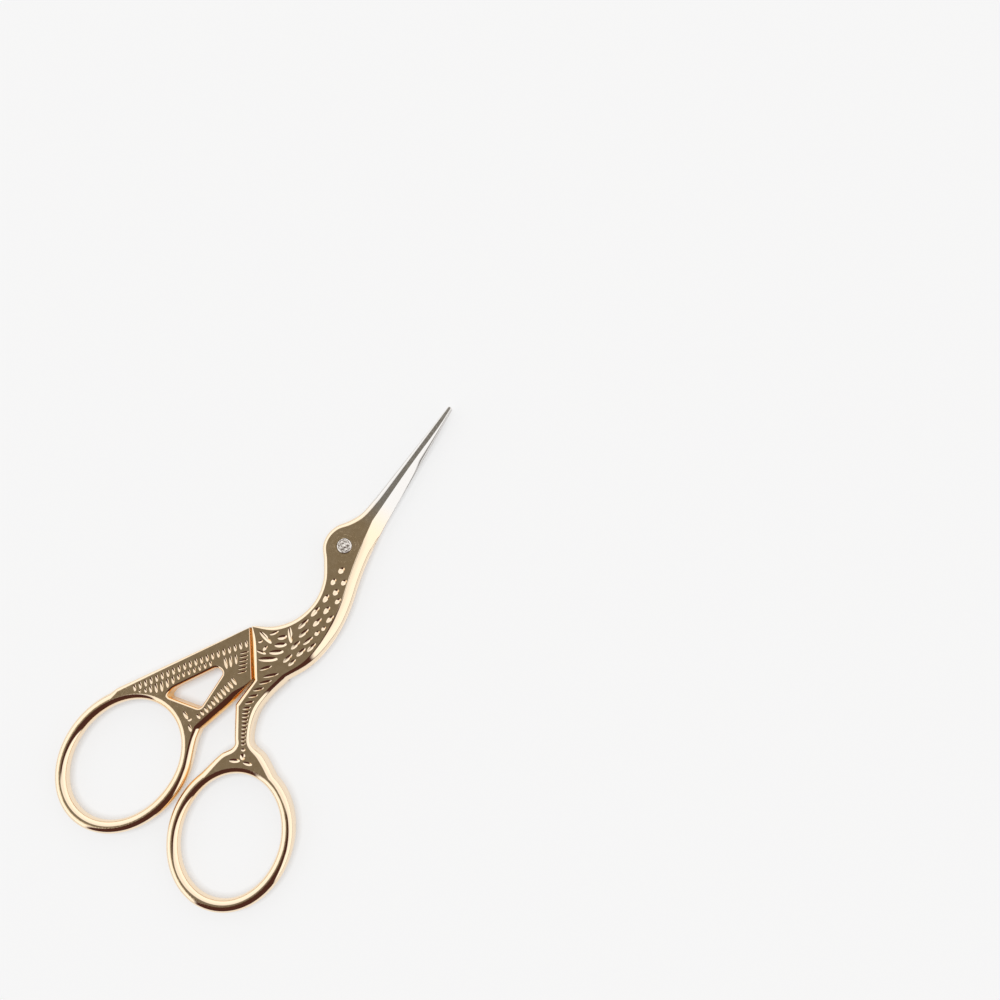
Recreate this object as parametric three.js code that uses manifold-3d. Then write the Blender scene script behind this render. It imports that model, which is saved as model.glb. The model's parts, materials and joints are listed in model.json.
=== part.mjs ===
// Embroidery scissors cast in the shape of a stork: the blades are the beak, the pivot is the eye.
//
// Two halves lap at the pivot. The leg half lies on top there, and carries the leg and one finger bow.
// The wing half lies underneath, and carries the wing, its window and the other bow. A slotted screw
// goes up through the wing half, and its end is riveted over on the face of the leg half.
//
// Units are millimetres. While the pieces are made, the pivot axis is x = y = 0, the lap is z = 0,
// +X runs along the closed blades to the tip, and +Y is the stork's back.

import * as THREE from "three";
import { mergeVertices } from "three/addons/utils/BufferGeometryUtils.js";
import Module from "manifold-3d";

// Thickness
const LAYER = 2.1; // each half, from the lap to its outer face
const TIP_LAYER = 0.9; // the same at the tip of the blades
const BOW_LAYER = 1.6; // the same over the finger bows
const LAP_GAP = 0.15; // running gap between the two halves
const RIM_DEPTH = 1.3; // deepest that a rounded edge goes down from a face

// Blades
const BLADE_REACH = 36.4; // pivot to tip
const HEEL = 8; // pivot to the back end of the cutting edges
const HEEL_WIDTH = 4.9; // across the closed blades at the heel
const TIP_WIDTH = 0.9;
const TIP_RISE = 0.25; // middle of the tip above the pivot line
const SPINE_RISE = 1.05; // back edge of the beak above the pivot line
const BEVEL_WIDTH = 2.5; // ground bevel on the throat side of the beak, at the heel
const SPINE_BEVEL = 1; // bevel on the back of the beak, at the heel
const TIP_BEVEL = 0.15;
const EDGE_LAND = 0.12; // wall left under a ground cutting edge

// Head, neck and body
const CROWN = 4.4; // pivot line to the top of the head
const NAPE = 2; // pivot line down to the hollow of the nape
const THROAT = 5.35; // pivot line down to the throat below the eye
const BREAST = 9.9; // pivot line down to the fullest of the breast
const TAIL = { x: -24.6, y: 5.2 }; // where nape, wing and seam meet
const HIP = { x: -32.8, y: -1.9 }; // where the seam ends at the leg
const BELLY = { x: -28.2, y: -7.6 }; // where the wing half ends on the breast
const SEAM_GAP = 0.5; // open gap between the halves, along the seam and beside the leg

// Rounded edges, by the width of the rounding
const BACK_RIM = 0.8;
const BREAST_RIM = 1.9;
const THIGH_RIM = 1.1;
const SHIN_RIM = { front: 0.7, knee: 1, ankle: 1.3 };
const SEAM_RIM = 0.6;
const WING_RIM = { top: 0.65, corner: 1.4, hip: 0.9 };
const CORNER_RIM = 0.1;

// Leg: it leaves the hip level, bends at the knee and runs to the ankle, where the bow begins
const KNEE = { x: -39.2, y: -1.95 };
const ANKLE_DROP = 6.5; // pivot line down to the upper edge of the ankle
const LEG_WIDTH = 3.6;
const THIGH_WIDTH = 4.6;

// Finger bows: wire rings round an oval hole. The front is where the ring comes nearest the pivot.
const BOW_WIRE = 2.75;
const BOW_RIM = Math.min(1.15, 0.42 * BOW_WIRE);
const BOW_GAP = 0.56; // between the closed bows
const BOW_MEET = 3.69; // pivot line down to where the closed bows meet
const WING_BOW = { length: 26.9, width: 21, tilt: -5, front: -46.1 };
const LEG_BOW = { length: 25.2, width: 20.6, tilt: 19, front: -45.4 };
const BOW_TAPER = 10; // from the front of the wing's bow back to where the handles are thinnest

// Wing: its lower edge, and the bars that are left round its window
const WING_LOW = 4.45; // lower corner of the wing at the bow, above where the bows meet
const WING_ELBOW = { x: 5.8, y: 10.3 }; // upper corner, back from the bow's front and up from its middle
const WINDOW_BAR = 2.2; // between the window and the hole of the bow
const WINDOW_TOP = 0.8; // top of the window above the middle of the bow
const WINDOW_LEDGE = 2; // length of the flat top of the window
const WINDOW_FOOT = { x: 2.35, y: 2.6 }; // lower corner, in from the bar and up from the wing's corner
const WINDOW_END = { back: 2.7, low: 5.95, high: 7.85 }; // end towards the seam, from the hip
const WINDOW_CORNER = 0.9;

// Pivot screw
const SCREW_RADIUS = 1.55;
const SCREW_CLEARANCE = 0.06;
const HEAD_LIP = 0.35; // head beyond the shank
const HEAD_HEIGHT = 0.95;
const HEAD_CLEARANCE = 0.2;
const HEAD_SUNK = 0.15; // below the face that the scissors lie on
const HEAD_CHAMFER = 0.2;
const SLOT_WIDTH = 0.6;
const SLOT_DEPTH = 0.5;
const RIVET_PROUD = 0.2; // above the top face
const RIVET_CHAMFER = 0.25;

// Mesh fineness
const OUTLINE_STEP = 1.5;
const RIM_STEPS = 3;
const ROUND_STEPS = 40;
const CORNER_STEPS = 4;

const FAR = 100; // reach of the cutting blocks, well past the part

const wasm = await Module();
wasm.setup();

// Solids

function solidOf(geometry) {
  const bare = geometry.clone();
  bare.deleteAttribute("normal");
  bare.deleteAttribute("uv");
  const merged = mergeVertices(bare, 1e-4);
  return new wasm.Manifold(
    new wasm.Mesh({
      numProp: 3,
      vertProperties: merged.attributes.position.array,
      triVerts: new Uint32Array(merged.index.array),
    }),
  );
}

function geometryOf(solid) {
  const mesh = solid.getMesh();
  const geometry = new THREE.BufferGeometry();
  geometry.setAttribute("position", new THREE.BufferAttribute(mesh.vertProperties, 3));
  geometry.setIndex(new THREE.BufferAttribute(mesh.triVerts, 1));
  geometry.computeVertexNormals();
  return geometry;
}

// A solid turned about the pivot axis, from [radius, z] pairs that start and end on the axis.
function turned(profile) {
  const points = profile.map(([radius, z]) => new THREE.Vector2(radius, z));
  const lathe = new THREE.LatheGeometry(points, ROUND_STEPS);
  return solidOf(lathe.rotateX(Math.PI / 2));
}

// An upright prism over a plan outline, between two heights.
function prism(plan, low, high) {
  const shape = new THREE.Shape(plan.map(({ x, y }) => new THREE.Vector2(x, y)));
  const block = new THREE.ExtrudeGeometry(shape, { depth: high - low, bevelEnabled: false });
  return solidOf(block.translate(0, 0, low));
}

// Outlines. A point is a Vector3: x and y in plan, and in z the width of the rounded edge there.

const point = (x, y, rim) => new THREE.Vector3(x, y, rim);

// A smooth run through points, without its last point, so that runs can follow one another.
// A straight run, between two points, needs only its first.
function run(...points) {
  if (points.length === 2) return [points[0]];
  const curve = new THREE.CatmullRomCurve3(points, false, "centripetal");
  const steps = Math.ceil(curve.getLength() / OUTLINE_STEP);
  return curve.getSpacedPoints(steps).slice(0, -1);
}

// Marks which side of the beak a run lies on: 1 for the back, -1 for the throat.
const onSide = (side, points) => points.map((p) => Object.assign(p, { side }));

// A line moved sideways, to the left of its direction.
function moved(from, to, left) {
  const along = new THREE.Vector2(to.x - from.x, to.y - from.y).normalize();
  const shift = (p) => new THREE.Vector2(p.x - along.y * left, p.y + along.x * left);
  return { from: shift(from), to: shift(to), along };
}

// A finger bow. The closed bows meet below the pivot line: the wing's stands above, the leg's below.
function bow({ length, width, tilt, front }, side) {
  const turn = THREE.MathUtils.degToRad(tilt);
  const outerX = length / 2 + BOW_WIRE;
  const outerY = width / 2 + BOW_WIRE;
  const reachX = Math.hypot(outerX * Math.cos(turn), outerY * Math.sin(turn));
  const reachY = Math.hypot(outerX * Math.sin(turn), outerY * Math.cos(turn));
  const centre = { x: front - reachX, y: side * (BOW_GAP / 2 + reachY) - BOW_MEET };
  const oval = (wire, from, to, clockwise) =>
    new THREE.EllipseCurve(
      centre.x, centre.y, length / 2 + wire, width / 2 + wire, from, to, clockwise, turn,
    );
  const sampled = (curve) => {
    const steps = Math.ceil(curve.getLength() / OUTLINE_STEP);
    return curve.getSpacedPoints(steps).slice(0, -1).map(({ x, y }) => point(x, y, BOW_RIM));
  };
  const radians = THREE.MathUtils.degToRad;
  return {
    centre,
    // A point on the outer edge, and the outer edge anticlockwise between two angles in degrees.
    at: (angle) => {
      const end = oval(BOW_WIRE, 0, radians(angle), false).getPoint(1);
      return point(end.x, end.y, BOW_RIM);
    },
    outer: (from, to) => sampled(oval(BOW_WIRE, radians(from), radians(to), false)),
    hole: () => sampled(oval(0, 2 * Math.PI, 0, true)),
  };
}

const wingBow = bow(WING_BOW, 1);
const legBow = bow(LEG_BOW, -1);

// Back of the stork, from the tip of the beak over the head and down the nape to the tail.
function backEdge() {
  const root = point(HEEL + 4, SPINE_RISE, SPINE_BEVEL);
  return onSide(1, [
    ...run(point(BLADE_REACH, TIP_RISE + TIP_WIDTH / 2, TIP_BEVEL), root),
    ...run(
      root,
      point(HEEL - 0.6, SPINE_RISE + 0.35, SPINE_BEVEL),
      point(4.8, 0.3 * CROWN + 1.15, SPINE_BEVEL),
      point(2.2, CROWN - 0.45, BACK_RIM),
      point(-0.2, CROWN, BACK_RIM),
      point(-2.6, CROWN - 0.6, BACK_RIM),
      point(-5.2, 1.5, BACK_RIM),
      point(-8.6, 1.1 - NAPE, BACK_RIM),
      point(-12.8, -NAPE, BACK_RIM),
      point(-17.7, 0.8 - NAPE, BACK_RIM),
      point(-21.7, 1.4, BACK_RIM),
      point(TAIL.x, TAIL.y, CORNER_RIM),
    ),
  ]);
}

// Breast, throat and lower edge of the beak, from the given point on the belly to the tip.
function breastEdge(start) {
  const heel = point(HEEL, SPINE_RISE - HEEL_WIDTH, BEVEL_WIDTH);
  const tip = point(BLADE_REACH, TIP_RISE - TIP_WIDTH / 2, TIP_BEVEL);
  return onSide(-1, [
    ...run(
      start,
      point(-24.1, 0.65 - BREAST, BREAST_RIM),
      point(-18.6, -BREAST, BREAST_RIM),
      point(-13.7, 0.4 - BREAST, BREAST_RIM),
      point(-8.8, 1.6 - BREAST, BREAST_RIM),
      point(-3.9, -1.2 - THROAT, BREAST_RIM),
      point(1, 0.2 - THROAT, BREAST_RIM),
      heel,
    ),
    ...run(heel, tip),
    tip,
  ]);
}

// Height of the outer face above the lap: even over the body, falling along the beak and to the bows.
function faceHeight(x) {
  const { mapLinear } = THREE.MathUtils;
  const front = WING_BOW.front;
  const beak = mapLinear(x, HEEL, BLADE_REACH, LAYER, TIP_LAYER);
  const handle = mapLinear(x, front, front - BOW_TAPER, LAYER, BOW_LAYER);
  return Math.min(LAYER, beak, Math.max(handle, BOW_LAYER));
}

// One column of points over the edge of a loop: lower rounding, wall, upper rounding.
// On the side of the beak that cuts, the rounding is a flat bevel down to a thin edge.
function edgeColumn(loop, i, cuttingSide) {
  const [before, here, after] = [-1, 0, 1].map((k) => loop.at((i + k) % loop.length));
  const along = new THREE.Vector2(after.x - before.x, after.y - before.y).normalize();
  const top = faceHeight(here.x);
  const cuts = here.side === cuttingSide && here.x >= HEEL;
  const depth = cuts ? top - EDGE_LAND : Math.min(RIM_DEPTH, here.z, 0.9 * top);
  const upper = [];
  for (let k = 0; k <= RIM_STEPS; k++) {
    const share = k / RIM_STEPS;
    const inset = here.z * (cuts ? share : 1 - Math.cos((share * Math.PI) / 2));
    const rise = depth * (cuts ? share : Math.sin((share * Math.PI) / 2));
    upper.push([here.x - along.y * inset, here.y + along.x * inset, top - depth + rise]);
  }
  const lower = upper.map(([x, y, z]) => [x, y, -z]).reverse();
  return [...lower, ...upper];
}

// A rounded plate, as thick above the lap as below it, from loops that keep the metal on their left.
// Each loop climbs from the lower face, over the edge, to the upper face, and the faces are filled.
function roundedPlate(loops, cuttingSide) {
  const bands = loops.map((loop) => loop.map((_, i) => edgeColumn(loop, i, cuttingSide)));
  const levels = 2 * (RIM_STEPS + 1);
  const positions = [];
  const triangles = [];
  const upperFace = [];
  const lowerFace = [];
  for (const band of bands) {
    const first = positions.length / 3;
    const corner = (level, i) => first + level * band.length + (i % band.length);
    for (let level = 0; level < levels; level++)
      band.forEach((column) => positions.push(...column[level]));
    for (let level = 0; level + 1 < levels; level++)
      band.forEach((_, i) => {
        const [a, b] = [corner(level, i), corner(level, i + 1)];
        const [c, d] = [corner(level + 1, i + 1), corner(level + 1, i)];
        triangles.push(a, b, c, a, c, d);
      });
    band.forEach((_, i) => upperFace.push(corner(levels - 1, i)));
    band.forEach((_, i) => lowerFace.push(corner(0, i)));
  }
  const plan = (band) => band.map((column) => new THREE.Vector2(...column[levels - 1]));
  const [contour, ...holes] = bands.map(plan);
  for (const [a, b, c] of THREE.ShapeUtils.triangulateShape(contour, holes)) {
    triangles.push(upperFace[a], upperFace[b], upperFace[c]);
    triangles.push(lowerFace[c], lowerFace[b], lowerFace[a]);
  }
  const geometry = new THREE.BufferGeometry();
  geometry.setAttribute("position", new THREE.Float32BufferAttribute(positions, 3));
  geometry.setIndex(triangles);
  return solidOf(geometry);
}

// Plan of everything to the right of a line, as seen along it.
function rightOf({ from, to, along }) {
  const start = from.clone().addScaledVector(along, -FAR);
  const end = to.clone().addScaledVector(along, FAR);
  const aside = new THREE.Vector2(along.y, -along.x).multiplyScalar(3 * FAR);
  return [start, end, end.clone().add(aside), start.clone().add(aside)];
}

const boreProfile = [
  [0, -FAR],
  [SCREW_RADIUS + SCREW_CLEARANCE, -FAR],
  [SCREW_RADIUS + SCREW_CLEARANCE, FAR],
  [0, FAR],
];

// Corner of the wing half at the hip: it keeps the seam's gap from the leg half.
const wingHip = moved(TAIL, HIP, -SEAM_GAP).to;

// Leg half: beak, neck and body on top of the lap, then the leg and its bow at full thickness.
function legHalf() {
  const tail = point(TAIL.x, TAIL.y, CORNER_RIM);
  const hip = point(HIP.x, HIP.y, SEAM_RIM);
  const knee = point(KNEE.x, KNEE.y, SHIN_RIM.knee);
  const shoulder = (dx, dy, rim) => point(LEG_BOW.front + dx, dy - ANKLE_DROP, rim);
  const ankle = shoulder(-0.1, 0, SHIN_RIM.ankle);
  const shin = moved(knee, ankle, LEG_WIDTH);
  const calf = shin.from.clone().lerp(shin.to, 0.6);
  const thigh = (share) => {
    const upper = hip.clone().lerp(knee, share);
    return point(upper.x, upper.y - THIGH_WIDTH, THIGH_RIM);
  };
  const underside = point(BELLY.x - 0.7, BELLY.y + 0.3, BREAST_RIM);
  const outline = [
    ...backEdge(),
    ...run(tail, point(TAIL.x - 2, TAIL.y - 1.65, SEAM_RIM), hip),
    ...run(hip, knee),
    ...run(knee, ankle, shoulder(-2, 0.15, 1), shoulder(-4.1, 1.25, 1), legBow.at(50)),
    ...legBow.outer(50, 338),
    ...run(
      legBow.at(338),
      shoulder(1.75, -6.3, BOW_RIM),
      point(shin.to.x, shin.to.y, SHIN_RIM.front),
      point(calf.x, calf.y, SHIN_RIM.front),
      thigh(0.75),
      thigh(0.15),
      underside,
    ),
    ...breastEdge(underside),
  ];
  const plate = roundedPlate([outline, legBow.hole()], -1);
  const step = moved(BELLY, wingHip, SEAM_GAP);
  const lap = prism(rightOf(step), -FAR, LAP_GAP / 2);
  return plate.subtract(lap).subtract(turned(boreProfile));
}

// Wing half: beak, neck and body under the lap, then the wing and its bow at full thickness.
function wingHalf() {
  const tail = point(TAIL.x, TAIL.y, CORNER_RIM);
  const hip = point(wingHip.x, wingHip.y, WING_RIM.hip);
  const belly = point(BELLY.x, BELLY.y, BREAST_RIM);
  const low = point(WING_BOW.front - 1.6, WING_LOW - BOW_MEET, WING_RIM.corner);
  const elbow = point(WING_BOW.front - WING_ELBOW.x, wingBow.centre.y + WING_ELBOW.y, WING_RIM.top);
  const outline = [
    ...backEdge(),
    ...run(tail, elbow),
    elbow,
    ...wingBow.outer(62, 306),
    ...run(wingBow.at(306), point(low.x - 2, low.y - 0.55, BOW_RIM), low),
    ...run(low, hip),
    ...run(hip, belly),
    ...breastEdge(belly),
  ];
  const plate = roundedPlate([outline, wingBow.hole()], 1);
  const step = moved(HIP, TAIL, SEAM_GAP);
  const lap = prism(rightOf(step), -LAP_GAP / 2, FAR);
  const seat = -LAYER + HEAD_SUNK + HEAD_HEIGHT;
  const recess = turned([
    [0, -FAR],
    [SCREW_RADIUS + HEAD_LIP + HEAD_CLEARANCE, -FAR],
    [SCREW_RADIUS + HEAD_LIP + HEAD_CLEARANCE, seat],
    [0, seat],
  ]);
  const opening = prism(windowPlan(low), -FAR, FAR);
  return plate.subtract(lap).subtract(turned(boreProfile)).subtract(recess).subtract(opening);
}

// Plan of the window: a long opening with a short flat top, and rounded corners.
function windowPlan(low) {
  const bar = WING_BOW.front - BOW_WIRE + WINDOW_BAR;
  const top = wingBow.centre.y + WINDOW_TOP;
  const corners = [
    [bar, top],
    [bar + WINDOW_FOOT.x, low.y + WINDOW_FOOT.y],
    [HIP.x - WINDOW_END.back, HIP.y + WINDOW_END.low],
    [HIP.x - WINDOW_END.back, HIP.y + WINDOW_END.high],
    [bar + WINDOW_LEDGE, top],
  ].map(([x, y]) => new THREE.Vector2(x, y));
  return corners.flatMap((here, i) => {
    const next = corners.at((i + 1) % corners.length);
    const toward = (p) => here.clone().lerp(p, Math.min(0.45, WINDOW_CORNER / here.distanceTo(p)));
    const bend = new THREE.QuadraticBezierCurve(toward(corners.at(i - 1)), here, toward(next));
    return bend.getPoints(CORNER_STEPS);
  });
}

// Pivot screw: slotted head underneath, plain shank, and an end riveted over on top.
function pivotScrew() {
  const under = -LAYER + HEAD_SUNK;
  const seat = under + HEAD_HEIGHT - SCREW_CLEARANCE;
  const end = LAYER + RIVET_PROUD;
  const headRadius = SCREW_RADIUS + HEAD_LIP;
  const body = turned([
    [0, under],
    [headRadius - HEAD_CHAMFER, under],
    [headRadius, under + HEAD_CHAMFER],
    [headRadius, seat],
    [SCREW_RADIUS, seat],
    [SCREW_RADIUS, end - RIVET_CHAMFER],
    [SCREW_RADIUS - RIVET_CHAMFER, end],
    [0, end],
  ]);
  const slot = new THREE.BoxGeometry(4 * headRadius, SLOT_WIDTH, 2 * SLOT_DEPTH);
  return body.subtract(solidOf(slot.translate(0, 0, under)));
}

// Assembly

function piece(name, solid, color, roughness) {
  const material = new THREE.MeshStandardMaterial({ color, roughness, metalness: 1 });
  const mesh = new THREE.Mesh(geometryOf(solid), material);
  mesh.name = name;
  return mesh;
}

const GOLD_PLATE = 0xd9b777;
const BARE_STEEL = 0xb9b7b2;

const scissors = new THREE.Group();
scissors.add(
  piece("leg_half", legHalf(), GOLD_PLATE, 0.2),
  piece("wing_half", wingHalf(), GOLD_PLATE, 0.2),
  piece("pivot_screw", pivotScrew(), BARE_STEEL, 0.35),
);

// The part lies on its lower faces, with the middle of its plan over the origin.
const box = new THREE.Box3().setFromObject(scissors);
const middle = box.getCenter(new THREE.Vector3());
scissors.children.forEach((mesh) => mesh.position.set(-middle.x, -middle.y, -box.min.z));

export default scissors;
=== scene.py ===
import json

import bpy
import numpy as np
from mathutils import Matrix
from mathutils.geometry import delaunay_2d_cdt


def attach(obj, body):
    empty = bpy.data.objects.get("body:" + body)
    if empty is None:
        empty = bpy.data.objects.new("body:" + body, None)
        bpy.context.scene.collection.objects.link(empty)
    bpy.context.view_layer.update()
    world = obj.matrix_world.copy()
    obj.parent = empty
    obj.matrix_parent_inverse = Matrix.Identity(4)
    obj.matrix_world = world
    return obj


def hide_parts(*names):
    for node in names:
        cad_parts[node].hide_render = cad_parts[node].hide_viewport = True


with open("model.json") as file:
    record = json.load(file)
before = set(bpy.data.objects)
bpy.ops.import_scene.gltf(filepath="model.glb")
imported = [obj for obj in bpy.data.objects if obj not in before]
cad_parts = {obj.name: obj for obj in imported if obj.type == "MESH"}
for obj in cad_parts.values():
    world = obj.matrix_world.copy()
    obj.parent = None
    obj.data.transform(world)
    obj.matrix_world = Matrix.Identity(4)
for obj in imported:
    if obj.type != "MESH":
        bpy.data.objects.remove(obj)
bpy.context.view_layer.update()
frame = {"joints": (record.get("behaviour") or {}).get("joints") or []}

# Leg half
# One steel forging, plated gold: upper blade, head, neck and body over the lap, then the leg and its
# finger bow at full thickness. Filed, engraved by hand, polished and plated; its head takes the screw.

# Sizes are millimetres from the pivot: x to the tip of the beak, y to the stork's back, z = 0 at the lap.
per_metre = 1000
pivot = np.array(frame["joints"][0]["pos_m"]) * per_metre

# Heights over the lap: each half's lapped face, and the outer faces on the body, the bows and the tip.
lap = 0.075
body_face = 2.1
bow_face = 1.6
tip_face = 0.9

# Edges: the height left under the ground bevel and the bevel's slope, the most depth that an edge is
# rounded by, alone and as a share of its face's height, the rim at the ends of the step, how near those
# ends it shrinks and turns into their mitre, and the small bevel along the lap.
edge_land = 0.12
bevel_slope = 1.1
rim_depth = 1.6
rim_most = 0.9
hidden_rim = 0.1
hidden_from = 5
mitre_from = 0.6
lap_bevel = 0.15

# Bows: the width of the metal round the finger hole, and how far in it is rounded from each side.
wire = 2.73
bow_rim = 1.33
leg_bow = {"centre": (-60.523, -17.283), "half": (12.6, 10.3), "tilt": 19}

# Radius of the bore on the pivot, through which the screw's end shows as the stork's eye.
eye_bore = 1.61

# Places along the outline: x and y, and for most of them the rim, which is how far in the edge is worked.
tail = (-24.6, 5.2)
hip = (-32.8, -1.9)
belly = (-28.2, -7.6)
leg_root = (-28.9, -7.3, 1.3)
knee = (-39.2, -1.95, 0.85)
heel = (8, -3.85, 2.4)
brow = (12, 1.05, 1)
tip_low = (36.1, -0.16, 0.2)
tip_high = (36.1, 0.7, 0.15)


def face_height(x):
    """Height of the outer faces over the lap: level on the body, falling along the beak and to the bows."""
    bow_from, body_from, beak_from, beak_end = -56.1, -46.1, 8, 36.4
    heights = [bow_face, body_face, body_face, tip_face]
    return np.interp(x, [bow_from, body_from, beak_from, beak_end], heights)


def smooth(x, low, high):
    """0 below low, 1 above high, and the cubic 3t^2 - 2t^3 between."""
    t = np.clip((x - low) / (high - low), 0, 1)
    return t * t * (3 - 2 * t)


def lengths(curve):
    """Length along a curve of x and y, summed from its start to each point."""
    return np.append(0, np.cumsum(np.linalg.norm(np.diff(curve[:, :2], axis=0), axis=1)))


def evenly(curve, step=0.3):
    """The same curve, with its points at even lengths."""
    length = lengths(curve)
    at = np.linspace(0, length[-1], int(np.ceil(length[-1] / step)) + 1)
    return np.column_stack([np.interp(at, length, values) for values in curve.T])


def spline(*rows, steps=60):
    """Centripetal Catmull-Rom curve through rows of x, y, rim: on each span a cubic whose end slopes
    come from the neighbours, weighed by the square roots of the distances to them."""
    rows = np.array(rows, float)
    rows = np.vstack([2 * rows[0] - rows[1], rows, 2 * rows[-1] - rows[-2]])
    gap = np.sqrt(np.linalg.norm(np.diff(rows, axis=0), axis=1))[:, None]
    before, here, after = gap[:-2], gap[1:-1], gap[2:]
    a, b, c, d = rows[:-3], rows[1:-2], rows[2:-1], rows[3:]
    leave = here * ((b - a) / before - (c - a) / (before + here)) + c - b
    arrive = here * ((d - c) / after - (d - b) / (here + after)) + c - b
    t = np.linspace(0, 1, steps, endpoint=False)[:, None, None]
    bend = 3 * (c - b) - 2 * leave - arrive
    turn = 2 * (b - c) + leave + arrive
    curve = b + leave * t + bend * t**2 + turn * t**3
    return evenly(np.vstack([curve.transpose(1, 0, 2).reshape(-1, 3), rows[-2]]))


def straight(start, end):
    """A straight run between two rows of x, y, rim."""
    return evenly(np.array([start, end], float))


def oval(bow, grow, start, end, steps=720):
    """Part of an ellipse round a bow's hole, grown by a width, between two angles in degrees."""
    angle = np.radians(np.linspace(start, end, steps))
    turn = np.radians(bow["tilt"])
    x = (bow["half"][0] + grow) * np.cos(angle)
    y = (bow["half"][1] + grow) * np.sin(angle)
    x, y = x * np.cos(turn) - y * np.sin(turn), x * np.sin(turn) + y * np.cos(turn)
    return evenly(np.column_stack([x + bow["centre"][0], y + bow["centre"][1], np.full(steps, bow_rim)]))


def edged(run, ground=0, facet=0, fall=1):
    """A run of x, y, rim with three more columns: how far it is ground down to the lap, how far its edge is
    a straight facet and not a quarter round, and the depth of the edge as a share of its rim."""
    shape = [np.broadcast_to(values, len(run)) for values in (ground, facet, fall)]
    return np.column_stack([run, *shape])


def stork_back(ground):
    """Beak tip, spine, crown and nape down to the tail. The edge is more round than facet, shallower on the
    beak, and ground there on the half that has its bevel on this side."""
    beak = straight(tip_high, brow)
    nape = spline(
        brow, (7.4, 1.4, 1), (4.8, 2.47, 1), (2.2, 3.95, 0.8), (-0.2, 4.4, 0.8), (-2.6, 3.8, 0.8),
        (-5.2, 1.5, 0.8), (-8.6, -0.9, 0.8), (-12.8, -2, 0.8), (-17.7, -1.2, 0.8), (-21.7, 1.4, 0.8),
        (*tail, 0.1),
    )
    runs = []
    for run in (beak, nape):
        x = run[:, 0]
        runs.append(edged(run, ground * smooth(x, 5.5, 8.5), 0.4, 0.8 - 0.2 * smooth(x, 3, 9)))
    return runs


def stork_breast(start, ground):
    """Belly, breast and throat up to the heel, the edge of the beak, and the blunt tip. The edge is deep at
    the belly, shallower and rounder along the neck, and nearly a plain facet on the blade."""
    breast = spline(
        start, (-24.1, -9.25, 1.4), (-18.6, -9.9, 1.7), (-13.7, -9.5, 1.9), (-8.8, -8.3, 1.9),
        (-3.9, -6.55, 1.9), (1, -5.15, 2), heel,
    )
    beak = spline(heel, (21.5, -2.077, 1.4), (32, -0.698, 0.35), tip_low)
    end = spline(tip_low, (36.36, 0.05, 0.15), (36.385, 0.35, 0.15), (36.3, 0.6, 0.15), tip_high)
    runs = []
    for run in (breast, beak):
        x = run[:, 0]
        neck, blade = smooth(x, -24, -12), smooth(x, 1, 7)
        facet, fall = 0.7 - 0.2 * neck + 0.4 * blade, 1.25 - 0.55 * neck
        runs.append(edged(run, ground * smooth(x, 3, 8), facet, fall))
    return [*runs, edged(end, 0, 0.5, 1)]


def outline(runs, lead=3):
    """A closed edge from edged runs that keep the metal on their left. It adds the vector
    to the inner limit of the rounding: the rim along the left normal, and at a corner the mitre,
    which fades into the normal within a few rims of the corner."""
    sides = []
    for run in runs:
        way = np.gradient(run[:, :2], axis=0)
        way /= np.linalg.norm(way, axis=1, keepdims=True)
        sides.append(np.column_stack([-way[:, 1], way[:, 0]]))
    closed = []
    for k, run in enumerate(runs):
        left, rim = sides[k], run[:, 2:3]
        gone = lengths(run)[:, None]
        inset = rim * left
        after = sides[(k + 1) % len(runs)][0]
        for side, end, away in ((sides[k - 1][-1], 0, gone), (after, -1, gone[-1] - gone)):
            mitre = rim[end] * (side + left[end]) / (1 + side @ left[end])
            fade = np.clip(1 - away / min(lead * rim[end, 0], gone[-1, 0] / 2), 0, 1)
            inset = inset + fade * (mitre - rim[end] * left[end])
        closed.append(np.hstack([run, inset])[:-1])
    return np.vstack(closed)


def crossed(rows, start, end):
    """The closed edge with the two points where a line crosses it, turned so that it begins with the part
    to the line's left, and the index where that part ends."""
    way = np.subtract(end, start)
    side = way[0] * (rows[:, 1] - start[1]) - way[1] * (rows[:, 0] - start[0])
    onward = np.roll(side, -1)
    at = np.flatnonzero((side > 0) != (onward > 0))
    share = (side[at] / (side[at] - onward[at]))[:, None]
    met = rows[at] * (1 - share) + np.roll(rows, -1, axis=0)[at] * share
    rows = np.insert(rows, at + 1, met, axis=0)
    enters, leaves = (at + 1 + np.arange(2))[np.argsort(side[at] > 0)]
    return np.roll(rows, -enters, axis=0), (leaves - enters) % len(rows)


def grid(points, closed):
    """Triangles of a grid of points, rows by columns, and its normals by the cross product of differences
    along the columns and the rows. Rows climb and columns run with the metal on their left."""
    rows, columns = points.shape[:2]
    over = np.concatenate([points[:, -1:], points, points[:, :1]], axis=1) if closed else points
    along = np.gradient(over, axis=1)[:, 1:-1] if closed else np.gradient(over, axis=1)
    normals = np.cross(along, np.gradient(points, axis=0))
    normals /= np.maximum(np.linalg.norm(normals, axis=2, keepdims=True), 1e-12)
    i, j = np.meshgrid(np.arange(rows - 1), np.arange(columns if closed else columns - 1), indexing="ij")
    a, b = i * columns + j, i * columns + (j + 1) % columns
    c, d = b + columns, a + columns
    faces = np.stack([a, b, c, a, c, d], axis=-1).reshape(-1, 3)
    return points.reshape(-1, 3), faces, normals.reshape(-1, 3)


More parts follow.
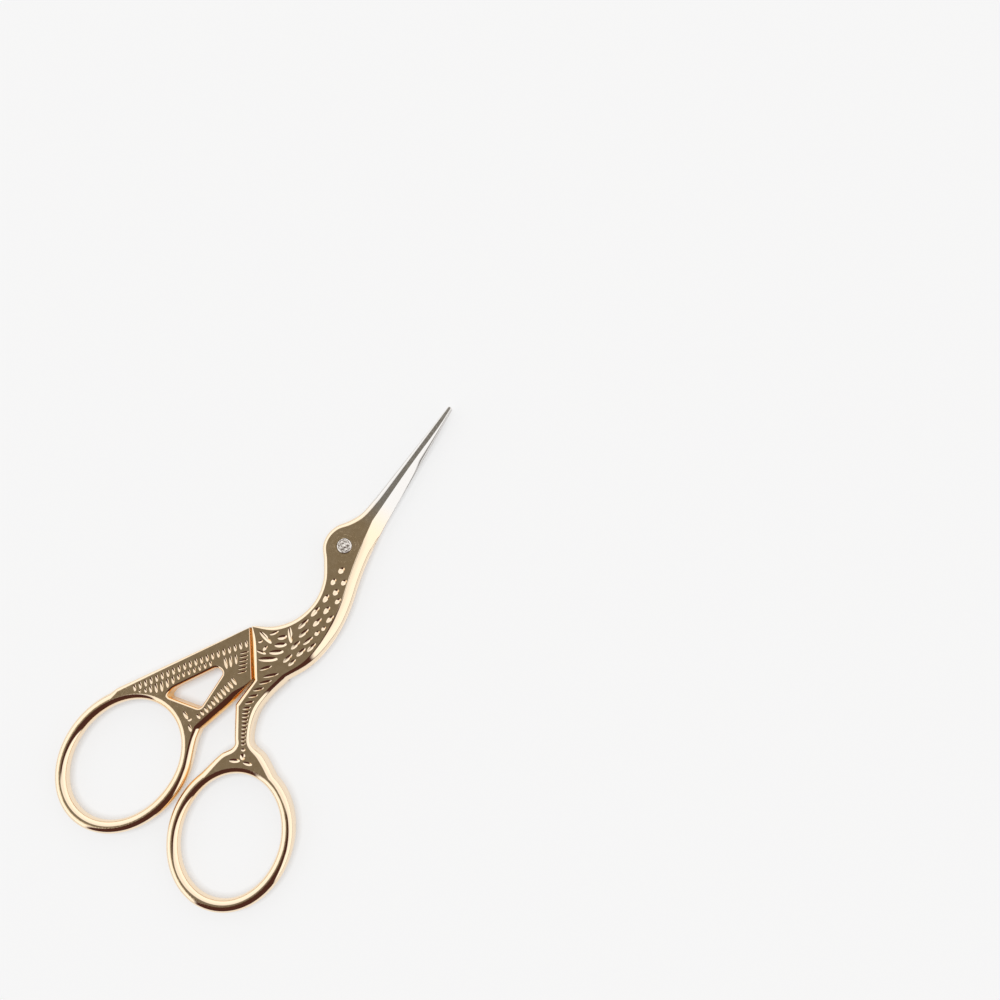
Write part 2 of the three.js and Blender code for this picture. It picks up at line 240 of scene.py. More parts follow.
def sheet(contour, holes, height, up):
    """A flat face inside a contour and outside holes, all anticlockwise, at a height given by x: constrained
    Delaunay triangles over the points of those loops alone, kept where only the contour holds them."""
    loops = [contour, *holes]
    flat = np.vstack(loops)
    ends = np.cumsum([len(loop) for loop in loops])
    rings = [list(range(end - len(loop), end)) for loop, end in zip(loops, ends)]
    inside_only, nearly_same = 1, 1e-7
    _, _, triangles, sources, _, inside = delaunay_2d_cdt(flat.tolist(), [], rings, inside_only, nearly_same)
    inner = np.array([owners == [0] for owners in inside])
    first = np.array([ids[0] for ids in sources])
    faces = first[np.array(triangles)[inner]]
    normals = np.tile([0, 0, 1 if up else -1], (len(flat), 1))
    return np.column_stack([flat, height(flat[:, 0])]), faces if up else faces[:, ::-1], normals


def strokes(marks, up):
    """Graver cuts, one for each row of x, y, angle, length, width and lean: a canoe whose depth falls as
    1 - r^1.3 from a deepest place that lies towards its far end, and to one side by the lean's share of half
    its width. Returns the rims for the face round them, and the cuts."""
    hollow, depth_share, far_share = 1.3, 0.6, 0.45
    x, y, angle, length, width, lean = marks.T[:, :, None, None]
    around = np.radians(np.arange(0, 360, 20))[None, None, :]
    r = np.append(np.linspace(1, 0.16, 6), 0)[None, :, None]
    turn = np.radians(angle)
    a, b = length / 2, width / 2
    far, side, deep = far_share * a, lean * b, depth_share * b
    u = a * r * np.cos(around) + far * (1 - r)
    v = b * r * np.sin(around) + side * (1 - r)
    px, py = x + u * np.cos(turn) - v * np.sin(turn), y + u * np.sin(turn) + v * np.cos(turn)
    sign = 1 if up else -1
    pz = sign * (face_height(px) - deep * (1 - r**hollow))

    # The slope of that depth along the cut and across it, for the normals.
    steep = hollow * deep * np.maximum(r, 0.05) ** (hollow - 1)
    reach = a * b - far * b * np.cos(around) - side * a * np.sin(around)
    su, sv = steep * b * np.cos(around) / reach, steep * a * np.sin(around) / reach
    sx, sy = su * np.cos(turn) - sv * np.sin(turn), su * np.sin(turn) + sv * np.cos(turn)
    normals = np.stack([-sx, -sy, np.ones_like(sx)], axis=-1) * [1, 1, sign]
    normals /= np.linalg.norm(normals, axis=-1, keepdims=True)
    cuts = np.stack([px, py, pz], axis=-1)
    patches = []
    for cut, normal in zip(cuts, normals):
        points, faces, _ = grid(cut, True)
        patches.append((points, faces if up else faces[:, ::-1], normal.reshape(-1, 3)))
    return list(cuts[:, 0, :, :2]), patches


# Steps of a rounded edge, from its wall to its face: as even shares, and as angles of a quarter turn.
climb = np.linspace(0, 1, 9)[:, None]
arc = climb * np.pi / 2


def upper_edge(rows):
    """Patches of the edge from the lap to the upper face, with its foot and its crest: the lap's small bevel
    between tail and head, a wall, then a quarter ellipse that leans in by 1 - cos and climbs by sin, or even
    shares of both where it is a facet. It is as deep as its share of the rim, or as the ground bevel."""
    x, y, rim, ground, facet, fall, vx, vy = rows.T
    top = face_height(x + vx)
    bevel = np.minimum(top - edge_land, bevel_slope * rim)
    deep = (1 - ground) * np.minimum(np.minimum(rim_depth, fall * rim), rim_most * top) + ground * bevel
    inset = (1 - facet) * (1 - np.cos(arc)) + facet * climb
    rise = (1 - facet) * np.sin(arc) + facet * climb
    rounding = np.stack([x + vx * inset, y + vy * inset, top - deep + deep * rise], axis=-1)
    points, faces, normals = grid(rounding, True)
    normals = normals.reshape(rounding.shape)
    sharp = facet[:, None]
    normals[-1] = (1 - sharp) * [0, 0, 1] + sharp * normals[-1]
    normals[0] = (1 - sharp) * normals[0] * [1, 1, 0] + sharp * normals[0]
    nick = lap_bevel * smooth(x, -24, -21) * (1 - smooth(x, 1, 4))
    foot = np.column_stack([x + vx / rim * nick, y + vy / rim * nick, np.full(len(x), lap)])
    lip = np.column_stack([x, y, lap + nick])
    walls = [grid(np.stack([foot, lip]), True), grid(np.stack([lip, rounding[0]]), True)]
    return [(points, faces, normals.reshape(-1, 3)), *walls], foot, rounding[-1, :, :2]


def lower_edge(rows, foot):
    """Patches of the edge behind the step, from the lower face up to the foot, and of the step's own wall,
    with the contour of the lower face. The quarter round is drawn in towards both ends of the step, where
    it turns into the mitre with the step's wall."""
    x, y, rim, _, _, _, vx, vy = rows.T
    gone = lengths(rows)
    near = np.minimum(gone, gone[-1] - gone)
    slim = (hidden_rim + (rim - hidden_rim) * smooth(near, 0, hidden_from)) / rim
    inset = np.column_stack([vx, vy]) * slim[:, None]
    step_way = np.array([x[0] - x[-1], y[0] - y[-1]])
    across = np.array([-step_way[1], step_way[0]]) / np.hypot(*step_way)
    for end, away in ((0, gone), (-1, gone[-1] - gone)):
        own = inset[end] / np.linalg.norm(inset[end])
        mitre = hidden_rim * (own + across) / (1 + own @ across)
        inset = inset + np.clip(1 - away / mitre_from, 0, 1)[:, None] * (mitre - inset[end])
    low = face_height(x + inset[:, 0])
    deep = np.minimum(np.minimum(rim_depth, rim * slim), rim_most * low)
    lean, fall = 1 - np.cos(arc[::-1]), np.sin(arc[::-1])
    rounding = np.stack([x + inset[:, 0] * lean, y + inset[:, 1] * lean, deep - low - deep * fall], axis=-1)
    wall = np.concatenate([rounding, foot[None]])
    points, faces, normals = grid(wall, False)
    normals = normals.reshape(wall.shape)
    normals[0] = [0, 0, -1]
    return [(points, faces, normals.reshape(-1, 3)), grid(wall[:, [-1, 0]], False)], rounding[0, :, :2]


def hole_wall(hole):
    """The wall of a hole through the full thickness, with a quarter round at each face, and its contour."""
    x, y, rim, _, _, _, vx, vy = outline([hole]).T
    high = face_height(x + vx)
    deep = np.minimum(rim_depth, rim)
    lift = np.vstack([deep - high - deep * np.sin(arc[::-1]), high - deep + deep * np.sin(arc)])
    inset = 1 - np.cos(np.vstack([arc[::-1], arc]))
    points, faces, normals = grid(np.stack([x + vx * inset, y + vy * inset, lift], axis=-1), True)
    normals = normals.reshape(len(lift), -1, 3)
    normals[0], normals[-1] = [0, 0, -1], [0, 0, 1]
    return (points, faces, normals.reshape(-1, 3)), np.column_stack([x + vx, y + vy])[::-1]


def half(runs, holes, step, bore, front_marks, handle_marks):
    """Patches of one half, drawn with its whole face up: the edge over the lap all round, the edge under it
    behind the step, the holes, the bore as rings of radius and height, the flat faces with their cuts, and
    the lapped face."""
    rows, last = crossed(outline(runs), *step)
    patches, foot, crest = upper_edge(rows)
    lower, sole = lower_edge(rows[: last + 1], foot[: last + 1])
    walls, mouths = zip(*[hole_wall(hole) for hole in holes])
    turn = np.radians(np.arange(0, 360, 5))
    ring = np.column_stack([np.cos(turn), np.sin(turn)])
    levels = [np.column_stack([ring[::-1] * radius, np.full(len(ring), z)]) for radius, z in bore]
    steps = [grid(np.stack(pair), True) for pair in zip(levels[:-1], levels[1:])]
    rims, cuts = strokes(front_marks, True)
    face = sheet(crest, [*mouths, ring * bore[-1][0], *rims], face_height, True)
    under_rims, under_cuts = strokes(handle_marks, False)
    under = sheet(sole, [*mouths, *under_rims], lambda x: -face_height(x), False)
    front = np.vstack([foot[last:, :2], foot[:1, :2]])
    lapped = sheet(front, [ring * bore[0][0]], lambda x: np.full(len(x), lap), False)
    return [*patches, *lower, *walls, *steps, face, *cuts, under, *under_cuts, lapped]


def painted_glow_share(points, normals):
    """How far a wall faces another close to it, which sets its share of painted orange glow from gold
    reflected
    in gold: along the seam, between leg and wing, between the bows, and in the window. It falls off with the
    distance to the middle line of each gap."""
    gaps = [
        (tail, hip, 1.2, 0.25), (hip, (-46, -1.5), 1.8, 0.8), ((-57, -3.7), (-64, -3.7), 2, 0.4),
        ((-44.5, 7.6), (-37.5, 5.2), 4, 0.8),
    ]
    inside = np.zeros(len(points))
    for start, end, reach, deep in gaps:
        way = np.subtract(end, start)
        share = np.clip((points[:, :2] - start) @ way / (way @ way), 0, 1)
        away = np.linalg.norm(points[:, :2] - start - share[:, None] * way, axis=1)
        inside = np.maximum(inside, deep * np.clip(2 - away / reach, 0, 1))
    return inside * (1 - normals[:, 2] ** 2)


def made(name, patches, flipped=False):
    """One object from patches: equal points are welded, and each patch keeps its own normals."""
    count = np.cumsum([0, *[len(points) for points, _, _ in patches]])
    points = np.vstack([points for points, _, _ in patches])
    normals = np.vstack([normals for _, _, normals in patches])
    faces = np.vstack([faces + start for (_, faces, _), start in zip(patches, count)])
    if flipped:
        points, normals, faces = points * [1, 1, -1], normals * [1, 1, -1], faces[:, ::-1]
    _, first, same = np.unique(np.round(points, 5), axis=0, return_index=True, return_inverse=True)
    welded = same.reshape(-1)[faces]
    a, b, c = welded.T
    whole = (a != b) & (b != c) & (c != a)
    welded, faces = welded[whole], faces[whole]
    mesh = bpy.data.meshes.new(name)
    mesh.vertices.add(len(first))
    mesh.vertices.foreach_set("co", ((points[first] + pivot) / per_metre).ravel())
    mesh.loops.add(welded.size)
    mesh.loops.foreach_set("vertex_index", welded.ravel())
    mesh.polygons.add(len(welded))
    mesh.polygons.foreach_set("loop_start", np.arange(0, welded.size, 3))
    mesh.polygons.foreach_set("use_smooth", np.ones(len(welded), bool))
    mesh.update(calc_edges=True)
    # Share of painted orange glow, as gold reflected in gold, on walls that face each other closely.
    painted_glow = mesh.attributes.new("painted_glow", "FLOAT", "POINT")
    painted_glow.data.foreach_set("value", painted_glow_share(points[first], normals[first]))
    mesh.normals_split_custom_set(normals[faces.ravel()])
    piece = bpy.data.objects.new(name, mesh)
    bpy.context.scene.collection.objects.link(piece)
    return piece


def feed(tree, target, inputs):
    """Link each named input of a shader node to another node's output, or set it to a constant."""
    for socket, value in inputs.items():
        if isinstance(value, bpy.types.NodeSocket):
            tree.links.new(value, target.inputs[socket])
        else:
            target.inputs[socket].default_value = value


def node(tree, kind, inputs, **settings):
    """A new shader node with its settings and inputs; returns its outputs."""
    fresh = tree.nodes.new(kind)
    for setting, value in settings.items():
        setattr(fresh, setting, value)
    feed(tree, fresh, inputs)
    return fresh.outputs


def worked(tree, operation, *values):
    """One step of arithmetic in a shader."""
    return node(tree, "ShaderNodeMath", dict(enumerate(values)), operation=operation)["Value"]


def ranged(tree, value, low, high, first=0, last=1, curve="LINEAR"):
    """A value carried from low..high to first..last and held there, evenly or by the cubic of smooth."""
    inputs = {"Value": value, "From Min": low, "From Max": high, "To Min": first, "To Max": last}
    return node(tree, "ShaderNodeMapRange", inputs, interpolation_type=curve)["Result"]


def mixed(tree, factor, first, second, kind="RGBA"):
    """Two colours or two numbers, from the first to the second by a factor."""
    return node(tree, "ShaderNodeMix", {"Factor": factor, "A": first, "B": second}, data_type=kind)["Result"]


def shades(tree, factor, *stops):
    """A ramp of colours over a factor, from stops of place and colour."""
    ramp = tree.nodes.new("ShaderNodeValToRGB")
    feed(tree, ramp, {"Fac": factor})
    elements = ramp.color_ramp.elements
    for k, (place, colour) in enumerate(stops):
        stop = elements[k] if k < 2 else elements.new(place)
        stop.position = place
        stop.color = colour
    return ramp.outputs["Color"]


def plating(name):
    """Polished gold plating over steel: pale and deep gold in soft patches on the flats, a paler gold on the
    rounded edges as a painted highlight, a painted deep orange glow of gold reflected in gold on walls that
    face each other closely, and worn to the steel on the ground blade. The flats keep a fine grain, and
    turned rings round the pivot."""
    material = bpy.data.materials.new(name)
    material.use_nodes = True
    tree = material.node_tree
    where = node(tree, "ShaderNodeTexCoord", {})
    place = where["Object"]
    facing = node(tree, "ShaderNodeSeparateXYZ", {"Vector": where["Normal"]})["Z"]
    flat = ranged(tree, worked(tree, "ABSOLUTE", facing), 0.985, 0.999)

    # Colour: the flats' tone, then the edges' painted highlight, the painted glow between facing walls, and
    # the blade over it.
    patchy = node(tree, "ShaderNodeTexNoise", {"Vector": place, "Scale": 700, "Detail": 6})["Fac"]
    tone = shades(tree, patchy, (0.35, (0.87, 0.66, 0.41, 1)), (0.65, (0.95, 0.74, 0.49, 1)))
    # Painted highlight: the rounded edges take a paler gold, so that their highlights come out whiter.
    with_painted_highlight = mixed(tree, flat, (0.97, 0.79, 0.58, 1), tone)
    # Painted reflection: a deep orange on walls that face each other closely, as gold reflected in gold.
    painted_glow = node(tree, "ShaderNodeAttribute", {}, attribute_name="painted_glow")["Fac"]
    with_painted_glow = mixed(tree, painted_glow, with_painted_highlight, (0.94, 0.52, 0.11, 1))
    along = node(tree, "ShaderNodeSeparateXYZ", {"Vector": place})["X"]
    plated, bare = (pivot[0] + 5) / per_metre, (pivot[0] + 13) / per_metre
    colour = mixed(tree, ranged(tree, along, plated, bare, curve="SMOOTHSTEP"), with_painted_glow, (0.8, 0.775, 0.75, 1))

    # Grain, and the rings, which fade out between 2 and 6 mm from the pivot.
    grain = node(tree, "ShaderNodeTexNoise", {"Vector": place, "Scale": 1800, "Detail": 4})["Fac"]
    rough = mixed(tree, flat, 0.06, ranged(tree, grain, 0.3, 0.7, 0.07, 0.17), "FLOAT")
    centre = {"Location": (pivot[0] / per_metre, pivot[1] / per_metre, 0), "Scale": (0.001, 0.001, 1000)}
    centred = node(tree, "ShaderNodeMapping", {"Vector": place, **centre}, vector_type="TEXTURE")["Vector"]
    ripple = {"Vector": centred, "Scale": 0.5, "Distortion": 2, "Detail": 2}
    rings = node(tree, "ShaderNodeTexWave", ripple, wave_type="RINGS", rings_direction="Z")["Fac"]
    away = node(tree, "ShaderNodeVectorMath", {0: centred}, operation="LENGTH")["Value"]
    turned = worked(tree, "MULTIPLY", rings, ranged(tree, away, 6, 2, 0, 0.7, "SMOOTHSTEP"))
    height = worked(tree, "ADD", turned, grain)
    bump = node(tree, "ShaderNodeBump", {"Strength": flat, "Distance": 0.00002, "Height": height})["Normal"]
    finish = {"Base Color": colour, "Metallic": 1, "Roughness": rough, "Normal": bump}
    feed(tree, tree.nodes["Principled BSDF"], finish)
    return material


leg_wire = oval(leg_bow, wire, start=50, end=338)
shin = spline(
    knee, (-44.7, -6, 1.05), (-45.5, -6.7, 1.05), (-46.5, -6.75, 1), (-48.7, -5.7, 1), leg_wire[0],
)
thigh = spline(
    leg_wire[-1], (-43.65, -12.8, bow_rim), (-43.39, -9.42, 0.7), (-40.87, -7.6, 0.7), (-37.6, -6.54, 1),
    (-33.76, -6.51, 1.2), leg_root,
)
past_bow = smooth(thigh[:, 0], -45, -40)
leg_runs = [
    *stork_back(ground=0),
    edged(spline((*tail, 0.1), (-26.6, 3.55, 0.7), (*hip, 0.7)), facet=0.8, fall=0.5),
    edged(straight((*hip, 0.7), knee), facet=0.5, fall=0.7),
    edged(shin, facet=0.3, fall=0.8),
    edged(leg_wire),
    edged(thigh, facet=0.7 * past_bow, fall=1 + 0.25 * past_bow),
    *stork_breast(leg_root, ground=1),
]

# Graver cuts: x, y, angle, length and width of each.
neck_marks = [
    (-4.34, -2.67, -8, 1.59, 1.08), (-7.17, -2.77, 1, 1.54, 0.96), (-5.98, -4.6, -8, 1.43, 0.96),
    (-8.56, -4.5, -5, 1.54, 1.02), (-10.81, -3.64, 2, 1.93, 0.94), (-9.75, -5.95, -8, 1.54, 0.84),
    (-14.28, -3.53, -4, 2.53, 0.89), (-12.6, -5.26, -3, 1.93, 0.89), (-15.71, -5.19, -8, 2.37, 0.89),
    (-13.6, -6.9, -8, 2.04, 0.84), (-17.75, -3.09, -9, 2.86, 0.84), (-19.17, -4.34, -12, 2.53, 0.84),
    (-17.5, -6.55, -8, 1.26, 0.82), (-15.94, -7.05, -8, 1.1, 0.72), (-19.83, -6, -13, 2.53, 0.79),
    (-22.12, -4.49, -10, 2.42, 0.84), (-22.54, -6.29, -10, 2.42, 0.84), (-20.46, -7.4, -8, 2.42, 0.79),
    (-25.2, -4.85, -10, 2.42, 0.84), (-25.3, -6.1, -10, 1.98, 0.72),
]
body_marks = [
    (-22.84, 0.6, -30, 1.96, 0.65), (-22.51, -1.31, -40, 2, 0.95), (-23.94, -1.99, -48, 2.55, 1),
    (-25.62, -2.2, -48, 3, 1), (-27.82, -1.67, -52, 4.1, 1.05), (-24.65, 1.46, -97, 3.47, 0.9),
    (-21.14, -2.32, -135, 3.34, 0.9), (-25.92, 1.81, -30, 0.98, 0.55), (-26.4, 0.17, -5, 1.33, 0.6),
    (-27.53, 0.32, -73, 2.1, 0.6),
]
leg_marks = [
    (-29.5, -2.4, -34, 2.7, 0.66), (-30.01, -4.2, -40, 3.3, 0.66), (-31.8, -4.1, -38, 2.8, 0.64),
    (-33.75, -3.9, -39, 2.3, 0.62), (-35.49, -3.87, -40, 2.1, 0.6), (-36.98, -4.07, -38, 1.95, 0.58),
    (-38.2, -4.32, -42, 1.8, 0.56), (-38.98, -4.72, -42, 1.65, 0.54), (-39.66, -5.13, -42, 1.5, 0.52),
    (-40.33, -5.55, -41, 1.4, 0.5), (-40.99, -6.02, -42, 1.3, 0.5), (-41.68, -6.44, -41, 1.2, 0.5),
    (-42.37, -6.86, -40, 1.1, 0.5), (-43.02, -7.31, -39, 1.05, 0.48), (-43.66, -7.77, -40, 1, 0.48),
    (-44.28, -8.27, -42, 0.95, 0.48),
]
ankle_marks = [
    (-45.15, -9, -50, 0.93, 0.65), (-47.97, -8.9, -54, 2.3, 0.85), (-46.3, -9.78, -141, 1.35, 1.15),
    (-46.78, -11.42, -67, 2, 0.75),
]
behind_step = leg_marks[3:]
graver_lean = 0.65


def held(marks, lean=0):
    """The same cuts, with the graver held over to one side by a share of half their width."""
    return np.column_stack([marks, np.full(len(marks), lean)])


leg_half = made(
    "leg_forging",
    half(
        leg_runs,
        holes=[edged(oval(leg_bow, grow=0, start=360, end=0))],
        step=((-28.59, -7.91), (-33.52, -1.84)),
        bore=[(eye_bore, lap), (eye_bore, body_face)],
        front_marks=np.vstack([held(neck_marks + body_marks + ankle_marks), held(leg_marks, -graver_lean)]),
        handle_marks=np.vstack([held(ankle_marks), held(behind_step, -graver_lean)]),
    ),
)
leg_half.data.materials.append(plating("leg_half_plating"))
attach(leg_half, "leg_side")
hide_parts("leg_half")

# Wing half
# The other forging, under the lap: lower blade, head, neck and body, then the wing with its window and
# the thumb's bow at full thickness. It turns on the screw, whose head sits in a recess on its back.

wing_bow = {"centre": (-62.28, 9.865), "half": (13.45, 10.5), "tilt": -5}
elbow = (-51.9, 20.165, 0.8)
low_corner = (-47.7, 0.76, 1.4)
wing_hip = (-33.13, -1.52, 0.9)
window_rim = 0.5
recess_radius = 2.1
recess_floor = 1
wing_wire = oval(wing_bow, wire, start=62, end=306)
wing_runs = [
    *stork_back(ground=1),
    edged(straight((*tail, 0.1), elbow), facet=0.4, fall=0.55),
    edged(straight(elbow, wing_wire[0]), facet=0.2),
    edged(wing_wire),
    edged(spline(wing_wire[-1], (-49.7, 0.21, bow_rim), low_corner)),
    edged(spline(low_corner, (-40.5, -0.75, 1.5), (-36, -1.35, 1.25), wing_hip), facet=0.2),
    edged(straight(wing_hip, (*belly, 1.3))),
    *stork_breast((*belly, 1.3), ground=0),
]


def window(corner_reach=0.9):
    """The window's five sides, clockwise, with corners rounded by quarter turns of a parabola."""
    corners = np.array([(-46.65, 10.665), (-44.65, 10.665), (-35.5, 5.95), (-35.5, 4.05), (-44.3, 3.36)])
    before, after = np.roll(corners, 1, axis=0), np.roll(corners, -1, axis=0)
    reach = [corner_reach / np.linalg.norm(side - corners, axis=1, keepdims=True) for side in (before, after)]
    first, last = corners + reach[0] * (before - corners), corners + reach[1] * (after - corners)
    t = np.linspace(0, 1, 12)[:, None, None]
    bend = (1 - t) ** 2 * first + 2 * t * (1 - t) * corners + t**2 * last
    loop = bend.transpose(1, 0, 2).reshape(-1, 2)
    loop = np.vstack([loop, loop[:1]])
    return evenly(np.column_stack([loop, np.full(len(loop), window_rim)]))


def row_of(count, start, end, angle, length, width):
    """Like cuts, evenly from one place to another."""
    places = np.linspace(start, end, count)
    return np.column_stack([places, np.tile([angle, length, width], (count, 1))])


feather_way = -136
feathers = np.vstack([
    row_of(11, (-28.1, 3.85), (-38.42, 10.64), feather_way, 1.45, 0.62),
    row_of(10, (-39.48, 11.3), (-49.3, 17), feather_way, 1.45, 0.62),
    row_of(6, (-35.77, 7.33), (-40.9, 10.45), feather_way, 1.15, 0.56),
    [
        (-41.95, 11, feather_way, 1.2, 0.62), (-43.15, 11.5, feather_way, 1.6, 0.64),
        (-44.35, 12.05, feather_way, 1.9, 0.66), (-45.55, 12.6, feather_way, 2.2, 0.66),
        (-46.55, 13.3, feather_way, 2, 0.64), (-47.4, 14.15, feather_way, 1.6, 0.62),
        (-48.3, 14.8, feather_way, 0.9, 0.54), (-49.2, 15.7, feather_way, 0.55, 0.46),
        (-33.75, 4.85, -130, 2.4, 0.66), (-32.85, 4.25, -138, 2.4, 0.6), (-31.85, 3.6, -138, 2, 0.55),
        (-47.08, 4.91, -112, 1.85, 0.72), (-47.27, 3.62, -29, 0.9, 0.5), (-48.53, 2.58, -124, 1.55, 0.66),
    ],
    row_of(2, (-45.6, 2.6), (-44.6, 2.42), -106, 1.15, 0.62),
    row_of(3, (-43.6, 2.15), (-41.6, 1.9), -106, 1.35, 0.62),
    row_of(6, (-40.6, 1.85), (-35.6, 1.15), -106, 1.8, 0.62),
])
hatching = row_of(6, (-29.75, 3.15), (-33.1, 1), -38, 1.95, 0.42)
wing_marks = np.vstack([held(feathers, graver_lean), held(hatching, -graver_lean)])
wing_half = made(
    "wing_forging",
    half(
        wing_runs,
        holes=[edged(oval(wing_bow, grow=0, start=360, end=0)), edged(window())],
        step=((-33.14, -1.505), (-24.94, 5.595)),
        bore=[
            (eye_bore, lap), (eye_bore, recess_floor), (recess_radius, recess_floor),
            (recess_radius, body_face),
        ],
        front_marks=np.vstack([held(neck_marks), wing_marks]),
        handle_marks=wing_marks,
    ),
    flipped=True,
)
wing_half.data.materials.append(plating("wing_half_plating"))
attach(wing_half, "wing_side")
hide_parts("wing_half")

# Pivot screw
# A slotted steel screw, up through the wing half into the leg half. Its end is riveted over on the face,
# where it is the stork's eye, and its head sits in the recess on the back.

slot_half = 0.3
slot_bed = -1.45
head_radius = 1.9
head_end = -1.95
head_seat = -1.06
chamfer = 0.2
shank = 1.55
dome_radius = 1.38
dome_foot = 2.21
dome_top = 2.27


def arcs(radius, height):
    """Both arcs of a circle outside the slot, as two rows of points."""
    least = np.arcsin(slot_half / radius)
    turn = np.linspace(least, np.pi - least, 37)
    turn = np.stack([turn, turn + np.pi])
    return np.stack([radius * np.cos(turn), radius * np.sin(turn), np.full(turn.shape, height)], axis=-1)


# The head's two sides with the slot between them: their rounds, the slot's walls, the flat ends, its bed.
head = np.stack([
    arcs(head_radius - chamfer, head_end), arcs(head_radius, head_end + chamfer), arcs(head_radius, slot_bed),
])
patches = [grid(head[:, k], False) for k in (0, 1)]
for k in (0, 1):
    patches.append(grid(head[:, k, [-1, 0]], False))
    patches.append(sheet(head[0, k, :, :2], [], lambda x: np.full(len(x), head_end), False))
bed = np.stack([head[2, 0, [-1, 0]], head[2, 1, [0, -1]]])
patches.append(grid(bed, False))

# The rest is turned: the head's rim, the shank, and the round shoulder of the riveted end.
circle = head[2].reshape(-1, 3)
around = circle[:, :2] / np.linalg.norm(circle[:, :2], axis=1, keepdims=True)
profile = [
    (head_radius, slot_bed), (head_radius, head_seat), (shank, head_seat), (shank, 2.04), (1.53, 2.12),
    (1.47, 2.18), (dome_radius, dome_foot),
]
turned = [np.column_stack([around * radius, np.full(len(around), z)]) for radius, z in profile]
patches.append(grid(np.stack(turned), True))

# The riveted end is a low dome with hammer dents: a sum of crossing waves, drawn over rings of points.
across = np.append(np.linspace(dome_radius, 0.06, 16), 0)[:, None, None] * around
u, v = across[..., 0], across[..., 1]
broad = np.cos(5.1 * u + 1.3 * v + 0.4) * np.cos(1.7 * u - 4.6 * v)
small = np.cos(8.3 * u - 3.1 * v + 1) * np.cos(6.9 * v + 2.2 * u)
inward = 1 - (np.hypot(u, v) / dome_radius) ** 6
dome = dome_top - 0.04 * (u**2 + v**2) + 0.035 * (broad + 0.6 * small - 1) * inward
dome[0] = dome_foot
patches.append(grid(np.concatenate([across, dome[..., None]], axis=-1), True))
pivot_screw = made("slotted_screw", patches)

# Bare steel with fine specks, darker in the slot and on the head's rim and the shank, which lie between the
# two ends.
steel = bpy.data.materials.new("screw_steel")
steel.use_nodes = True
tree = steel.node_tree
place = node(tree, "ShaderNodeTexCoord", {})["Object"]
speck = node(tree, "ShaderNodeTexNoise", {"Vector": place, "Scale": 2400, "Detail": 5})["Fac"]
tone = shades(tree, speck, (0.36, (0.68, 0.61, 0.56, 1)), (0.56, (0.95, 0.9, 0.84, 1)))
height = node(tree, "ShaderNodeSeparateXYZ", {"Vector": place})["Z"]
past_head, short_of_dome = ranged(tree, height, 0.00025, 0.0006), ranged(tree, height, 0.0041, 0.004)
# Darker from the slot's bed up to just short of the riveted end.
darkened_between_ends = mixed(tree, worked(tree, "MULTIPLY", past_head, short_of_dome), tone, (0.16, 0.13, 0.11, 1))
rough = ranged(tree, speck, 0, 1, 0.12, 0.4)
bump = node(tree, "ShaderNodeBump", {"Strength": 0.25, "Distance": 0.00004, "Height": speck})["Normal"]
finish = {"Base Color": darkened_between_ends, "Metallic": 1, "Roughness": rough, "Normal": bump}
feed(tree, tree.nodes["Principled BSDF"], finish)
pivot_screw.data.materials.append(steel)
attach(pivot_screw, "leg_side")
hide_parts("pivot_screw")

# Floor
# A sheet of pale paper under the scissors. It glows evenly to the camera and in the metal's reflections,
# less close to the scissors, so that it keeps their shadow.

reach = 6
floor_mesh = bpy.data.meshes.new("floor")
corners = [(-reach, -reach, 0), (reach, -reach, 0), (reach, reach, 0), (-reach, reach, 0)]
floor_mesh.from_pydata(corners, [], [(0, 1, 2, 3)])
floor = bpy.data.objects.new("floor", floor_mesh)
bpy.context.scene.collection.objects.link(floor)
paper = bpy.data.materials.new("paper")
paper.use_nodes = True
tree = paper.node_tree
fibre = tree.nodes["Principled BSDF"]
feed(tree, fibre, {"Base Color": (0.85, 0.85, 0.85, 1), "Roughness": 1, "Specular IOR Level": 0})
white = node(tree, "ShaderNodeEmission", {"Color": (1, 1, 1, 1)})["Emission"]
ray = node(tree, "ShaderNodeLightPath", {})
seen = worked(tree, "ADD", ray["Is Camera Ray"], ray["Is Glossy Ray"])
clear = node(tree, "ShaderNodeAmbientOcclusion", {"Distance": 0.0015}, samples=4)["AO"]
glow = worked(tree, "MULTIPLY", worked(tree, "MULTIPLY", seen, clear), 0.77)
lit = node(tree, "ShaderNodeMixShader", {"Fac": glow, 1: fibre.outputs["BSDF"], 2: white})["Shader"]
feed(tree, tree.nodes["Material Output"], {"Surface": lit})
floor.data.materials.append(paper)

# Light
# A white tent, dim at its foot, with a dim gap overhead and a dark screen at the foot of the picture.

world = bpy.data.worlds.new("tent")
bpy.context.scene.world = world
world.use_nodes = True
tree = world.node_tree
way = node(tree, "ShaderNodeTexCoord", {})["Generated"]
height = node(tree, "ShaderNodeSeparateXYZ", {"Vector": way})["Z"]
cloth = shades(
    tree, height, (0.04, (0.22, 0.208, 0.198, 1)), (0.1, (1, 1, 1, 1)), (0.6, (1, 1, 1, 1)),
    (0.85, (0.85, 0.85, 0.85, 1)),
)

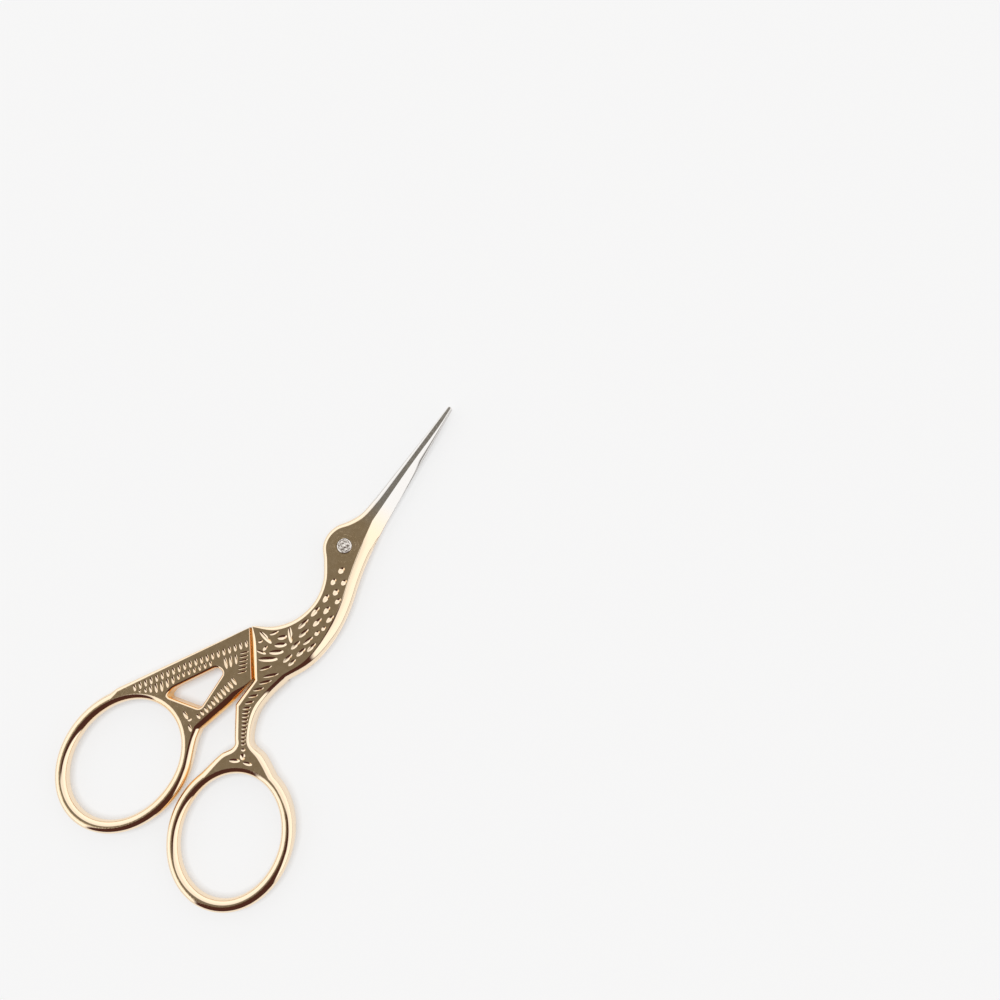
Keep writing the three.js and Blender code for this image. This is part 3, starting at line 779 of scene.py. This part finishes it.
# The screen widens towards the horizon, and its edges are soft.
to_screen = (0, 0, np.radians(-215))
turned = node(tree, "ShaderNodeMapping", {"Vector": way, "Rotation": to_screen})["Vector"]
ahead = node(tree, "ShaderNodeSeparateXYZ", {"Vector": turned})
aside = worked(tree, "MULTIPLY_ADD", ahead["X"], -0.45, worked(tree, "ABSOLUTE", ahead["Y"]))
within = ranged(tree, aside, 0.29, 0.21, curve="SMOOTHSTEP")
before = ranged(tree, ahead["X"], 0.04, 0.14, curve="SMOOTHSTEP")
screened = mixed(tree, worked(tree, "MULTIPLY", within, before), cloth, (0.062, 0.025, 0.02, 1))

# The gap is an oval a little off the zenith, with a soft edge.
oval_gap = {"Vector": way, "Location": (-0.12, 0.21, 0), "Scale": (0.3, 0.21, 1000)}
in_gap = node(tree, "ShaderNodeMapping", oval_gap, vector_type="TEXTURE")["Vector"]
from_gap = node(tree, "ShaderNodeVectorMath", {0: in_gap}, operation="LENGTH")["Value"]
out_of_gap = ranged(tree, from_gap, 0.85, 1.1, curve="SMOOTHSTEP")
tent = mixed(tree, out_of_gap, (0.186, 0.172, 0.148, 1), screened)
feed(tree, tree.nodes["Background"], {"Color": tent, "Strength": 1.2})

# Camera
# It stands over the foot of the picture and leans a little up and to the left. Its place is in millimetres
# from the pivot.

lens = bpy.data.cameras.new("camera")
lens.sensor_width = 36
lens.lens = 39.6
camera = bpy.data.objects.new("camera", lens)
picture_right = np.array([0.6037, -0.7972, 0])
picture_up = np.array([0.7972, 0.6037, 0])
out = np.array([0, 0, 1])
lean_up, lean_left = np.radians(7.00449), np.radians(4.18092)
side = np.cos(lean_left) * picture_right - np.sin(lean_left) * out
back = np.sin(lean_left) * picture_right + np.cos(lean_left) * out
top = np.sin(lean_up) * back + np.cos(lean_up) * picture_up
stand = (np.array([14.75, -49.77, 225.73]) + pivot) / per_metre
aim = Matrix(np.column_stack([side, top, np.cross(side, top)]).tolist())
camera.matrix_world = Matrix.LocRotScale(stand.tolist(), aim, None)
bpy.context.scene.collection.objects.link(camera)
bpy.context.scene.camera = camera

bpy.context.scene.view_settings.view_transform = "Standard"
